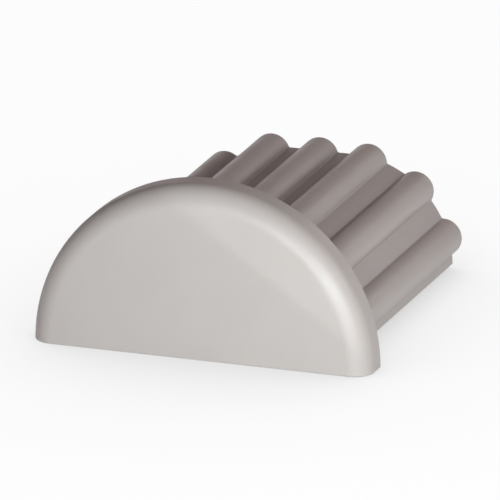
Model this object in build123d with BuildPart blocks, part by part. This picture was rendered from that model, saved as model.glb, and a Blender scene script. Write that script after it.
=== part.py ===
from build123d import *
import os

os.makedirs("parts", exist_ok=True)

# Groove plug: a half-round face plate with a ribbed plug moulded onto its back.
# The frame has +X to the right, +Y along the plug into the groove and +Z up.
# Its origin is on the plate's back face, midway along the plate's straight edge.

# Face plate
plate_radius = 21.0
plate_thickness = 4.8
plate_edge_radius = 2.5

# Plug core: an arch with a flat crown between two round shoulders
plug_length = 38.7
crown_width = 8.2
shoulder_radius = 12.5
shoulder_height = 0.3
underside_height = 0.5

# Ribs along the core: one on the crown and a few round each shoulder
rib_radius = 2.25
rib_axis_depth = 0.6
first_rib_angle = 9.6
rib_angle_step = 31.8
ribs_per_shoulder = 3

# Moulding radii
plate_edge_break = 0.15
root_radius = 0.2
rear_edge_radius = 0.3

# Sizes that follow from those above
shoulder_x = crown_width / 2
rib_circle_radius = shoulder_radius - rib_axis_depth
ribbed_width = crown_width + 2 * (rib_circle_radius + rib_radius)

with BuildPart() as groove_plug:
    # Face plate, from its back face forward
    with BuildSketch(Plane.XZ) as plate_outline:
        with BuildLine() as half_round:
            arch = CenterArc((0, 0), plate_radius, 0, 180)
            Line(arch @ 1, arch @ 0)
        make_face()
    extrude(amount=plate_thickness)

    # Rounding of the front edge, round the arch only
    front_face = groove_plug.faces().sort_by(Axis.Y)[0]
    fillet(front_face.edges().filter_by(GeomType.CIRCLE), radius=plate_edge_radius)

    # Broken edges of the plate: its rear rim and its straight lower face
    rear_rim = groove_plug.faces().sort_by(Axis.Y)[-1].edges().filter_by(GeomType.CIRCLE)
    lower_edges = groove_plug.faces().sort_by(Axis.Z)[0].edges()
    fillet(rear_rim + lower_edges, radius=plate_edge_break)

    # Ribbed plug, from the plate's back face along the groove
    with BuildSketch(Plane.XZ) as plug_section:
        with Locations((shoulder_x, shoulder_height)):
            Circle(shoulder_radius)
            with PolarLocations(
                rib_circle_radius,
                ribs_per_shoulder,
                start_angle=90 - first_rib_angle,
                angular_range=-ribs_per_shoulder * rib_angle_step,
            ):
                Circle(rib_radius)
        mirror(about=Plane.YZ)
        with Locations((0, shoulder_height)):
            Rectangle(crown_width, shoulder_radius, align=(Align.CENTER, Align.MIN))
        with Locations((0, shoulder_height + rib_circle_radius)):
            Circle(rib_radius)
        # Flat underside, a little above the plate's straight edge
        with Locations((0, underside_height)):
            Rectangle(
                ribbed_width,
                2 * shoulder_radius,
                align=(Align.CENTER, Align.MAX),
                mode=Mode.SUBTRACT,
            )
    extrude(amount=-plug_length)

    # Small moulding radii: the roots of the ribs, then the plug's rear edge
    rib_roots = groove_plug.edges().filter_by(Axis.Y).filter_by(Edge.is_interior)
    fillet(rib_roots, radius=root_radius)
    rear_face = groove_plug.faces().sort_by(Axis.Y)[-1]
    fillet(rear_face.edges(), radius=rear_edge_radius)

groove_plug.part.label = "groove_plug"
export_step(groove_plug.part, "parts/groove_plug.step")
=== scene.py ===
"""A half-round groove plug in a plain studio.

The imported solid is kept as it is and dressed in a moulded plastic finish. Round it stand
a pale floor, a few soft lamps and a long-lens camera. All lengths are in metres, in the
plug's own frame: +X right along the plate's straight edge, +Y along the plug into the
groove and +Z up, with the origin on the plate's back face.
"""

import logging
import math
from dataclasses import dataclass, field
from enum import Enum
from typing import Union

import bpy
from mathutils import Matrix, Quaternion, Vector


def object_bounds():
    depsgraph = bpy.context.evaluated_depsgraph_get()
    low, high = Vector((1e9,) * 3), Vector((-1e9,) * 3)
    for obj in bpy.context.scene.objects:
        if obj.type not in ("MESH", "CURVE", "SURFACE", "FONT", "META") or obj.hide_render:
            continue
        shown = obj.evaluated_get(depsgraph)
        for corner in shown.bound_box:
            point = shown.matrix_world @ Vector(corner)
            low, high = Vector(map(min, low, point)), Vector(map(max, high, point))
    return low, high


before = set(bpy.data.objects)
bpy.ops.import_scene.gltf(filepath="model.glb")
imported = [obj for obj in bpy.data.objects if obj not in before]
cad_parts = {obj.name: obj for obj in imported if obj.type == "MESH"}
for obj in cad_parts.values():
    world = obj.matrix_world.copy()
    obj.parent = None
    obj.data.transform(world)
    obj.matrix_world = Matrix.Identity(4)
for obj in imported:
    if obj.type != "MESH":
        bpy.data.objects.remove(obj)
cad_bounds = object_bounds()

log = logging.getLogger("groove_plug")

Colour = tuple[float, float, float]
Feed = Union[bpy.types.NodeSocket, float, tuple]

MM = 0.001

# Sockets of the Mix node that carry colours
MIX_UNDER, MIX_OVER, MIX_RESULT = 6, 7, 2

# Noise values between which a mask rises
WIDE_RISE = (0.3, 0.7)
SPECK_RISE = (0.35, 0.65)
STREAK_RISE = (0.42, 0.62)


class Sum(Enum):
    """Arithmetic used in the shader sheets."""

    SUBTRACT = "SUBTRACT"
    MULTIPLY = "MULTIPLY"
    MAXIMUM = "MAXIMUM"
    SQUARE_ROOT = "SQRT"
    ABSOLUTE = "ABSOLUTE"
    MULTIPLY_ADD = "MULTIPLY_ADD"


def bearing(azimuth: float, elevation: float) -> Vector:
    """Gives the unit vector from the object towards a lamp or camera.

    Args:
        azimuth: Degrees round the object; 0 stands in front of the plate, 90 to its right.
        elevation: Degrees above the floor.

    Returns:
        The direction, of length one.
    """
    turn, rise = math.radians(azimuth), math.radians(elevation)
    return Vector(
        (math.sin(turn) * math.cos(rise), -math.cos(turn) * math.cos(rise), math.sin(rise))
    )


@dataclass
class Sheet:
    """A shader node tree that is filled in one node at a time.

    Attributes:
        tree: The node tree being filled.
        column: How many nodes have been placed, for a tidy layout.
    """

    tree: bpy.types.NodeTree
    column: int = 0

    def add(self, kind: str, label: str = "", **settings: object) -> bpy.types.Node:
        """Places a node and sets its properties.

        Args:
            kind: The node's type name.
            label: What the node does, shown in its header.
            **settings: Properties of the node.

        Returns:
            The new node.
        """
        node = self.tree.nodes.new(kind)
        node.label = label
        node.location = (200 * self.column, -60 * (self.column % 5))
        self.column += 1
        for name, value in settings.items():
            setattr(node, name, value)
        return node

    def feed(self, socket: bpy.types.NodeSocket, value: Feed) -> None:
        """Links a socket to an output, or sets it to a constant."""
        if isinstance(value, bpy.types.NodeSocket):
            self.tree.links.new(value, socket)
        else:
            socket.default_value = value

    def sum(self, way: Sum, *terms: Feed, clamp: bool = False) -> bpy.types.NodeSocket:
        """Adds an arithmetic node.

        Args:
            way: The operation.
            *terms: Outputs or numbers, in order.
            clamp: Keeps the result between 0 and 1.

        Returns:
            The result's socket.
        """
        node = self.add("ShaderNodeMath", operation=way.value, use_clamp=clamp)
        for socket, term in zip(node.inputs, terms):
            self.feed(socket, term)
        return node.outputs[0]

    def ramp(
        self, value: Feed, low: Feed, high: Feed, to_low: Feed = 0.0, to_high: Feed = 1.0
    ) -> bpy.types.NodeSocket:
        """Eases a value smoothly from one range to another.

        Args:
            value: The value to ease.
            low: Where the range starts.
            high: Where the range ends.
            to_low: Result at and below the start.
            to_high: Result at and above the end.

        Returns:
            The eased value's socket.
        """
        node = self.add("ShaderNodeMapRange", interpolation_type="SMOOTHSTEP")
        for socket, term in zip(node.inputs, (value, low, high, to_low, to_high)):
            self.feed(socket, term)
        return node.outputs["Result"]

    def noise(
        self, place: Feed, scale: Feed, detail: float = 2.0, roughness: float = 0.5
    ) -> bpy.types.NodeSocket:
        """Adds a noise field and returns its value, between 0 and 1.

        Args:
            place: Where the field is read, in metres.
            scale: Features per metre.
            detail: Octaves of finer noise.
            roughness: How strong each octave is beside the one before.

        Returns:
            The field's socket.
        """
        node = self.add("ShaderNodeTexNoise")
        self.feed(node.inputs["Vector"], place)
        self.feed(node.inputs["Scale"], scale)
        node.inputs["Detail"].default_value = detail
        node.inputs["Roughness"].default_value = roughness
        return node.outputs[0]

    def stretch(self, place: Feed, scale: tuple) -> bpy.types.NodeSocket:
        """Scales a place along its three axes, so that noise runs long one way."""
        node = self.add("ShaderNodeVectorMath", operation="MULTIPLY")
        self.feed(node.inputs[0], place)
        node.inputs[1].default_value = scale
        return node.outputs["Vector"]

    def looked_at(self) -> bpy.types.NodeSocket:
        """Tells rays that look, straight or by reflection, from rays that gather light.

        Returns:
            A socket that is 1 for camera, glossy and transmission rays.
        """
        path = self.add("ShaderNodeLightPath")
        mirrored = self.sum(
            Sum.MAXIMUM, path.outputs["Is Glossy Ray"], path.outputs["Is Transmission Ray"]
        )
        return self.sum(Sum.MAXIMUM, path.outputs["Is Camera Ray"], mirrored)

    def tint(self, share: Feed, under: Feed, over: Feed) -> bpy.types.NodeSocket:
        """Lays one colour over another.

        Args:
            share: How much of the upper colour shows, from 0 to 1.
            under: The lower colour.
            over: The upper colour.

        Returns:
            The mixed colour's socket.
        """
        node = self.add("ShaderNodeMix", data_type="RGBA")
        self.feed(node.inputs[0], share)
        self.feed(node.inputs[MIX_UNDER], under)
        self.feed(node.inputs[MIX_OVER], over)
        return node.outputs[MIX_RESULT]


@dataclass
class Effect:
    """A shader node group with named inputs and outputs, built once and placed many times.

    Attributes:
        name: The group's name.
        inputs: Input names with their socket type.
        outputs: Output names with their socket type.
    """

    name: str
    inputs: dict[str, str]
    outputs: dict[str, str]
    group: bpy.types.NodeTree = field(init=False)
    sheet: Sheet = field(init=False)
    entry: bpy.types.Node = field(init=False)
    leave: bpy.types.Node = field(init=False)

    def __post_init__(self) -> None:
        """Makes the group's sockets and fills it in."""
        self.group = bpy.data.node_groups.new(self.name, "ShaderNodeTree")
        for name, kind in self.inputs.items():
            self.group.interface.new_socket(name, in_out="INPUT", socket_type=kind)
        for name, kind in self.outputs.items():
            self.group.interface.new_socket(name, in_out="OUTPUT", socket_type=kind)
        self.sheet = Sheet(self.group)
        self.entry = self.sheet.add("NodeGroupInput")
        self.leave = self.sheet.add("NodeGroupOutput")
        self.fill()

    def fill(self) -> None:
        """Builds the group's nodes; each effect has its own."""
        raise NotImplementedError

    def given(self, name: str) -> bpy.types.NodeSocket:
        """Returns one of the group's inputs, seen from inside."""
        return self.entry.outputs[name]

    def give(self, name: str, value: bpy.types.NodeSocket) -> None:
        """Sends a value to one of the group's outputs."""
        self.group.links.new(value, self.leave.inputs[name])

    def place(self, sheet: Sheet, **values: Feed) -> bpy.types.Node:
        """Places the effect in a material.

        Args:
            sheet: The material's sheet.
            **values: All of the effect's inputs, with underscores for the spaces in their names.

        Returns:
            The group node.
        """
        node = sheet.add("ShaderNodeGroup", label=self.name, node_tree=self.group)
        for name, value in values.items():
            sheet.feed(node.inputs[name.replace("_", " ").title()], value)
        return node


FLOAT = "NodeSocketFloat"
VECTOR = "NodeSocketVector"


class ErodedGrain(Effect):
    """The fine matt grain that a spark-eroded mould leaves on plastic."""

    RIPPLE_SHARE = 0.6

    def __init__(self) -> None:
        """Names the grain's sockets."""
        super().__init__(
            "Eroded grain",
            {"Place": VECTOR, "Pits": FLOAT, "Ripple": FLOAT},
            {"Height": FLOAT, "Gloss": FLOAT},
        )

    def fill(self) -> None:
        """Sums fine pits with a slow ripple, and lets patches of the grain shine more."""
        sheet, place = self.sheet, self.given("Place")
        pits = sheet.noise(place, self.given("Pits"), detail=2.0, roughness=0.6)
        ripple = sheet.noise(place, self.given("Ripple"), detail=1.0)
        height = sheet.sum(Sum.MULTIPLY_ADD, ripple, self.RIPPLE_SHARE, pits)
        self.give("Height", height)
        patches = sheet.noise(place, self.given("Ripple"), detail=3.0, roughness=0.55)
        self.give("Gloss", sheet.ramp(patches, *WIDE_RISE))


class FlowTint(Effect):
    """Slow drifts of tone that pigment leaves as the melt fills the mould."""

    ALONG_PLUG = (1.0, 0.35, 1.0)

    def __init__(self) -> None:
        """Names the tint's sockets."""
        super().__init__(
            "Flow tint",
            {"Place": VECTOR, "Drift": FLOAT, "Speck": FLOAT},
            {"Drift": FLOAT, "Speck": FLOAT},
        )

    def fill(self) -> None:
        """Draws long drifts along the plug and fine specks of pigment."""
        sheet, place = self.sheet, self.given("Place")
        along = sheet.stretch(place, self.ALONG_PLUG)
        drift = sheet.noise(along, self.given("Drift"), detail=3.0, roughness=0.5)
        self.give("Drift", sheet.ramp(drift, *WIDE_RISE))
        speck = sheet.noise(place, self.given("Speck"), detail=2.0, roughness=0.7)
        self.give("Speck", sheet.ramp(speck, *SPECK_RISE))


class CrestRub(Effect):
    """A faint polish on the ribs' crests, streaked along the way the plug is pushed in."""

    ALONG_RIBS = (1.0, 0.03, 1.0)
    STREAKS_PER_METRE = 3200.0
    PLATE_MARGIN = 1 * MM

    def __init__(self) -> None:
        """Names the rub's sockets."""
        super().__init__(
            "Crest rub",
            {
                "Place": VECTOR,
                "Crown Half": FLOAT,
                "Shoulder Height": FLOAT,
                "Rub Start": FLOAT,
                "Rub End": FLOAT,
            },
            {"Rub": FLOAT, "Streaks": FLOAT},
        )

    def fill(self) -> None:
        """Measures each point's distance from its shoulder's axis, and streaks it."""
        sheet, place = self.sheet, self.given("Place")
        split = sheet.add("ShaderNodeSeparateXYZ")
        sheet.feed(split.inputs[0], place)
        aside = sheet.sum(Sum.ABSOLUTE, split.outputs["X"])
        past = sheet.sum(Sum.SUBTRACT, aside, self.given("Crown Half"))
        beyond = sheet.sum(Sum.MAXIMUM, past, 0.0)
        above = sheet.sum(Sum.SUBTRACT, split.outputs["Z"], self.given("Shoulder Height"))
        rise = sheet.sum(Sum.MULTIPLY, above, above)
        reach = sheet.sum(Sum.SQUARE_ROOT, sheet.sum(Sum.MULTIPLY_ADD, beyond, beyond, rise))
        crest = sheet.ramp(reach, self.given("Rub Start"), self.given("Rub End"))
        behind = sheet.ramp(split.outputs["Y"], 0.0, self.PLATE_MARGIN)
        along = sheet.stretch(place, self.ALONG_RIBS)
        streak = sheet.noise(along, self.STREAKS_PER_METRE, detail=3.0, roughness=0.6)
        streaks = sheet.ramp(streak, *STREAK_RISE)
        rub = sheet.sum(Sum.MULTIPLY, crest, behind)
        self.give("Rub", rub)
        self.give("Streaks", sheet.sum(Sum.MULTIPLY, rub, streaks))


@dataclass(frozen=True)
class MouldedPlastic:
    """The plug's finish: solid-coloured satin plastic with a fine moulded grain and painted shade
    at the ribs' roots.

    Attributes:
        name: The material's name.
        light_tone: Colour where the pigment is thinnest.
        deep_tone: Colour where the pigment is thickest.
        drift: Slow drifts of pigment per metre.
        speck: Fine specks of pigment per metre.
        speck_share: How much the specks add to the drifts.
        pigment_share: How much of the deeper tone the pigment brings.
        pits: Pits of the grain per metre.
        ripple: Slow ripples and patches of the grain per metre.
        roughness: Mean roughness of the grain.
        roughness_swing: How far patches of grain differ from the mean.
        polish: How much smoother the rubbed crests are.
        rubbed_gain: How much lighter the streaks on the crests are than the light tone.
        painted_shade_tone: Colour of the painted shade laid into the roots of the ribs.
        painted_shade_share: How much of that painted shade shows in the deepest corners.
        painted_shade_reach: How far from a corner the painted shade reaches.
        painted_shade_span: Openness at which the painted shade starts and that at which it is
            full.
        painted_shade_samples: Rays that look for a corner.
        specular: Strength of the surface reflection.
        grain_depth: Height of the grain, in metres.
    """

    name: str = "satin_plastic"
    light_tone: Colour = (0.515, 0.468, 0.452)
    deep_tone: Colour = (0.491, 0.444, 0.428)
    drift: float = 70.0
    speck: float = 2600.0
    speck_share: float = 0.25
    pigment_share: float = 0.8
    pits: float = 5200.0
    ripple: float = 260.0
    roughness: float = 0.45
    roughness_swing: float = 0.03
    polish: float = 0.02
    rubbed_gain: float = 1.01
    # Painted shade: a dark brown laid into the base colour where the ribs' roots are closed in
    painted_shade_tone: Colour = (0.16, 0.125, 0.12)
    painted_shade_share: float = 0.6
    painted_shade_reach: float = 3 * MM
    painted_shade_span: tuple[float, float] = (1.0, 0.35)
    painted_shade_samples: int = 8
    specular: float = 0.7
    grain_depth: float = 0.002 * MM

    def make(
        self, grain: ErodedGrain, flow: FlowTint, rub: CrestRub, crests: dict[str, float]
    ) -> bpy.types.Material:
        """Builds the material.

        Args:
            grain: The moulded grain.
            flow: The drift of the pigment.
            rub: The polish on the ribs.
            crests: The polish's inputs that say where the ribs' crests lie.

        Returns:
            The finished material.
        """
        material = bpy.data.materials.new(self.name)
        material.use_nodes = True
        material.node_tree.nodes.clear()
        sheet = Sheet(material.node_tree)
        place = sheet.add("ShaderNodeTexCoord").outputs["Object"]
        skin = grain.place(sheet, place=place, pits=self.pits, ripple=self.ripple)
        pigment = flow.place(sheet, place=place, drift=self.drift, speck=self.speck)
        worn = rub.place(sheet, place=place, **crests)
        drift = sheet.sum(
            Sum.MULTIPLY_ADD, pigment.outputs["Speck"], self.speck_share, pigment.outputs["Drift"]
        )
        share = sheet.sum(Sum.MULTIPLY, drift, self.pigment_share, clamp=True)
        body = sheet.tint(share, (*self.light_tone, 1.0), (*self.deep_tone, 1.0))
        rubbed = tuple(tone * self.rubbed_gain for tone in self.light_tone)
        shone = sheet.tint(worn.outputs["Streaks"], body, (*rubbed, 1.0))
        # Painted shade: the colour darkens towards the root tone where the plug closes in on
        # itself, in the grooves and at the ribs' roots
        openness = sheet.add(
            "ShaderNodeAmbientOcclusion",
            label="Painted shade in closed-in roots",
            samples=self.painted_shade_samples,
            only_local=True,
        )
        openness.inputs["Distance"].default_value = self.painted_shade_reach
        root_painted_shade = sheet.ramp(openness.outputs["AO"], *self.painted_shade_span, 0.0, self.painted_shade_share)
        colour = sheet.tint(root_painted_shade, shone, (*self.painted_shade_tone, 1.0))
        smoothest = self.roughness - self.roughness_swing
        swing = sheet.sum(
            Sum.MULTIPLY_ADD, skin.outputs["Gloss"], 2 * self.roughness_swing, smoothest
        )
        polished = sheet.sum(Sum.MULTIPLY, worn.outputs["Rub"], self.polish)
        roughness = sheet.sum(Sum.SUBTRACT, swing, polished)
        bump = sheet.add("ShaderNodeBump", label="Moulded grain")
        bump.inputs["Distance"].default_value = self.grain_depth
        sheet.feed(bump.inputs["Height"], skin.outputs["Height"])
        shader = sheet.add("ShaderNodeBsdfPrincipled")
        sheet.feed(shader.inputs["Base Color"], colour)
        sheet.feed(shader.inputs["Roughness"], roughness)
        sheet.feed(shader.inputs["Normal"], bump.outputs["Normal"])
        shader.inputs["Specular IOR Level"].default_value = self.specular
        finish = sheet.add("ShaderNodeOutputMaterial")
        sheet.feed(finish.inputs["Surface"], shader.outputs["BSDF"])
        return material


@dataclass(frozen=True)
class StudioPaper:
    """The floor's finish: white paper that keeps a soft shade round the object.

    Attributes:
        name: The material's name.
        tone: The paper's colour.
        white_share: How much of the paper's look is plain white rather than lit paper.
        halo_reach: How far the soft shade round the object spreads.
        halo_depth: How dark that shade would be in a fully closed corner.
        halo_samples: Rays that look for the object.
    """

    name: str = "studio_paper"
    tone: Colour = (0.86, 0.86, 0.86)
    white_share: float = 0.97
    halo_reach: float = 40 * MM
    halo_depth: float = 0.42
    halo_samples: int = 16

    def make(self) -> bpy.types.Material:
        """Builds the material, which is clear from its rear.

        Returns:
            The finished material.
        """
        material = bpy.data.materials.new(self.name)
        material.use_nodes = True
        material.node_tree.nodes.clear()
        sheet = Sheet(material.node_tree)
        lit = sheet.add("ShaderNodeBsdfDiffuse")
        lit.inputs["Color"].default_value = (*self.tone, 1.0)
        openness = sheet.add(
            "ShaderNodeAmbientOcclusion", label="Room above the paper", samples=self.halo_samples
        )
        openness.inputs["Distance"].default_value = self.halo_reach
        halo = sheet.sum(
            Sum.MULTIPLY_ADD, openness.outputs["AO"], self.halo_depth, 1 - self.halo_depth
        )
        white = sheet.add("ShaderNodeEmission")
        sheet.feed(white.inputs["Strength"], halo)
        shown = sheet.add("ShaderNodeMixShader", label="White where it is looked at")
        sheet.feed(shown.inputs[0], sheet.sum(Sum.MULTIPLY, sheet.looked_at(), self.white_share))
        sheet.feed(shown.inputs[1], lit.outputs["BSDF"])
        sheet.feed(shown.inputs[2], white.outputs["Emission"])
        clear = sheet.add("ShaderNodeBsdfTransparent")
        side = sheet.add("ShaderNodeNewGeometry")
        upper = sheet.add("ShaderNodeMixShader", label="Clear from its rear")
        sheet.feed(upper.inputs[0], side.outputs["Backfacing"])
        sheet.feed(upper.inputs[1], shown.outputs["Shader"])
        sheet.feed(upper.inputs[2], clear.outputs["BSDF"])
        finish = sheet.add("ShaderNodeOutputMaterial")
        sheet.feed(finish.inputs["Surface"], upper.outputs["Shader"])
        return material


@dataclass
class GroovePlug:
    """The plug: one moulded piece, with a half-round face plate and a ribbed body.

    Attributes:
        node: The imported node's name.
        crown_width: Width of the flat crown between the two round shoulders.
        shoulder_height: Height of the shoulders' axes above the plate's straight edge.
        crest_reach: Distance of the ribs' crests from the shoulders' axes.
        rub_depth: How far down from the crests the polish reaches.
        finish: The plug's plastic.
    """

    node: str = "groove_plug"
    crown_width: float = 8.2 * MM
    shoulder_height: float = 0.3 * MM
    crest_reach: float = 14.15 * MM
    rub_depth: float = 0.75 * MM
    finish: MouldedPlastic = MouldedPlastic()

    def dress(self, solids: dict[str, bpy.types.Object]) -> bpy.types.Object:
        """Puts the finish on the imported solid.

        Args:
            solids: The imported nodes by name.

        Returns:
            The dressed object.
        """
        plug = solids[self.node]
        crests = {
            "crown_half": self.crown_width / 2,
            "shoulder_height": self.shoulder_height,
            "rub_start": self.crest_reach - self.rub_depth,
            "rub_end": self.crest_reach,
        }
        material = self.finish.make(ErodedGrain(), FlowTint(), CrestRub(), crests)
        for slot in plug.material_slots:
            slot.material = material
        return plug


@dataclass(frozen=True)
class Softbox:
    """A soft rectangular lamp aimed at the object.

    Attributes:
        name: The lamp's name.
        azimuth: Degrees round the object from the plate's front.
        elevation: Degrees above the floor.
        distance: How far it stands from the object's middle.
        width: Width of its face.
        height: Height of its face.
        power: Its power, in watts.
        colour: Its colour.
        spread: Degrees over which it sends its light; a grid on its front narrows this.
        roll: Degrees that it is turned about its own axis.
        aside: How far it is shifted to the right, looking from it at the object.
        above: How far it is shifted upward.
    """

    name: str
    azimuth: float
    elevation: float
    distance: float
    width: float
    height: float
    power: float
    colour: Colour = (1.0, 1.0, 1.0)
    spread: float = 180.0
    roll: float = 0.0
    aside: float = 0.0
    above: float = 0.0

    def build(self, middle: Vector) -> bpy.types.Object:
        """Makes the lamp.

        Args:
            middle: The point that it is aimed at.

        Returns:
            The lamp.
        """
        face = bpy.data.lights.new(self.name, "AREA")
        face.shape = "RECTANGLE"
        face.size, face.size_y = self.width, self.height
        face.energy, face.color = self.power, self.colour
        face.spread = math.radians(self.spread)
        lamp = bpy.data.objects.new(self.name, face)
        towards = bearing(self.azimuth, self.elevation)
        stance = towards.to_track_quat("Z", "Y")
        shift = stance @ Vector((self.aside, self.above, 0.0))
        lamp.location = middle + towards * self.distance + shift
        lamp.rotation_mode = "QUATERNION"
        lamp.rotation_quaternion = stance @ Quaternion((0.0, 0.0, 1.0), math.radians(self.roll))
        lamp.visible_camera = False
        bpy.context.scene.collection.objects.link(lamp)
        return lamp


@dataclass
class Studio:
    """The floor, the lamps and the air round them.

    Attributes:
        floor_radius: Radius of the round floor.
        floor_steps: Straight steps in the floor's round edge.
        wall_reach: How far the wall round it reaches above and below the floor.
        floor_gap: Depth of the floor's surface under the plate's straight edge.
        air: Colour of the light that comes from everywhere.
        air_strength: Its strength.
        lamps: The soft lamps; "band" draws the faint slanting band on the plate's face.
        paper: The floor's paper.
    """

    floor_radius: float = 0.4
    floor_steps: int = 96
    wall_reach: float = 70 * MM
    floor_gap: float = 0.02 * MM
    air: Colour = (1.0, 0.76, 0.74)
    air_strength: float = 0.115
    # Each lamp: name, azimuth, elevation, distance, width, height, power, colour
    lamps: tuple[Softbox, ...] = (
        Softbox("key", 14, 3, 0.20, 0.08, 0.08, 0.215, (0.92, 1.0, 1.0)),
        Softbox("edge", 40, 13, 0.20, 0.08, 0.08, 0.19, (0.925, 1.0, 1.0)),
        Softbox("right", 100, 28, 0.25, 0.1, 0.1, 0.06, (1.0, 0.88, 0.86)),
        Softbox("rear_right", 155, 22, 0.30, 0.08, 0.08, 0.025, (1.0, 0.88, 0.86)),
        Softbox("rear", 190, 8, 0.35, 0.34, 0.20, 0.14, (1.0, 0.89, 0.87)),
        Softbox("left", -80, 2, 0.35, 0.2, 0.12, 0.05, (1.0, 0.92, 0.9)),
        Softbox(
            "band", 0, 0, 0.08, 0.06, 0.03, 0.0005, (0.93, 1.0, 1.0),
            spread=1.5, roll=-34.5, aside=16.6 * MM, above=13.1 * MM,
        ),
    )
    paper: StudioPaper = StudioPaper()

    def build(self, middle: Vector) -> list[bpy.types.Object]:
        """Makes the whole studio.

        Args:
            middle: The object's middle, which the lamps are aimed at.

        Returns:
            The floor and the lamps.
        """
        self.fill_air()
        return [self.lay_floor(), *(lamp.build(middle) for lamp in self.lamps)]

    def fill_air(self) -> None:
        """Gives the world its plain, dim light."""
        world = bpy.data.worlds.new("studio_air")
        world.use_nodes = True
        glow = world.node_tree.nodes["Background"]
        glow.inputs["Color"].default_value = (*self.air, 1.0)
        glow.inputs["Strength"].default_value = self.air_strength
        bpy.context.scene.world = world

    def lay_floor(self) -> bpy.types.Object:
        """Makes the round pale floor and the low wall round it that closes level views.

        Returns:
            The floor.
        """
        steps = self.floor_steps
        turns = [2 * math.pi * step / steps for step in range(steps)]
        ring = [(self.floor_radius * math.cos(t), self.floor_radius * math.sin(t)) for t in turns]
        table = [(x, y, -self.floor_gap) for x, y in ring]
        foot = [(x, y, -self.wall_reach) for x, y in ring]
        brim = [(x, y, self.wall_reach) for x, y in ring]
        # The wall faces inward: up from the foot's step, along the brim and down again
        sides = [(step, (step + 1) % steps) for step in range(steps)]
        walls = [(steps + a, 2 * steps + a, 2 * steps + b, steps + b) for a, b in sides]
        mesh = bpy.data.meshes.new("floor")
        mesh.from_pydata(table + foot + brim, [], [list(range(steps)), *walls])
        mesh.materials.append(self.paper.make())
        floor = bpy.data.objects.new("floor", mesh)
        bpy.context.scene.collection.objects.link(floor)
        return floor


@dataclass
class LongLens:
    """A camera that looks at the object from far off, so that parallel lines stay parallel.

    Attributes:
        azimuth: Degrees round the object from the plate's front.
        elevation: Degrees above the floor.
        lens: Focal length in millimetres.
        frame_width: Width of the camera's frame in millimetres.
        view_width: Width of the view at the origin.
        aside: How far right of the origin the view's middle lies.
        above: How far above the origin the view's middle lies, in the picture.
        sight: How far the camera sees.
    """

    azimuth: float = 19.55
    elevation: float = 17.91
    lens: float = 1500.0
    frame_width: float = 36.0
    view_width: float = 58.583 * MM
    aside: float = 4.488 * MM
    above: float = 11.515 * MM
    sight: float = 10.0

    def build(self) -> bpy.types.Object:
        """Makes the camera and makes it the scene's own.

        Returns:
            The camera.
        """
        optics = bpy.data.cameras.new("long_lens")
        optics.lens = self.lens
        optics.sensor_width = self.frame_width
        optics.clip_end = self.sight
        camera = bpy.data.objects.new("long_lens", optics)
        back = bearing(self.azimuth, self.elevation)
        right = bearing(self.azimuth + 90, 0)
        upward = back.cross(right)
        distance = self.view_width * self.lens / self.frame_width
        camera.location = right * self.aside + upward * self.above + back * distance
        camera.rotation_mode = "QUATERNION"
        camera.rotation_quaternion = back.to_track_quat("Z", "Y")
        bpy.context.scene.collection.objects.link(camera)
        bpy.context.scene.camera = camera
        return camera


def main() -> None:
    """Builds the camera, the studio and the plug, and reports each piece."""
    logging.basicConfig(level=logging.INFO, format="%(name)s: %(message)s")
    bpy.context.scene.view_settings.view_transform = "Standard"
    camera = LongLens().build()
    log.info("camera at %.3f m", camera.location.length)
    plug = GroovePlug().dress(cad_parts)
    log.info("%s dressed in %s", plug.name, plug.material_slots[0].material.name)
    low, high = cad_bounds
    for piece in Studio().build((low + high) / 2):
        log.info("studio piece %s", piece.name)


if __name__ == "__main__":
    main()
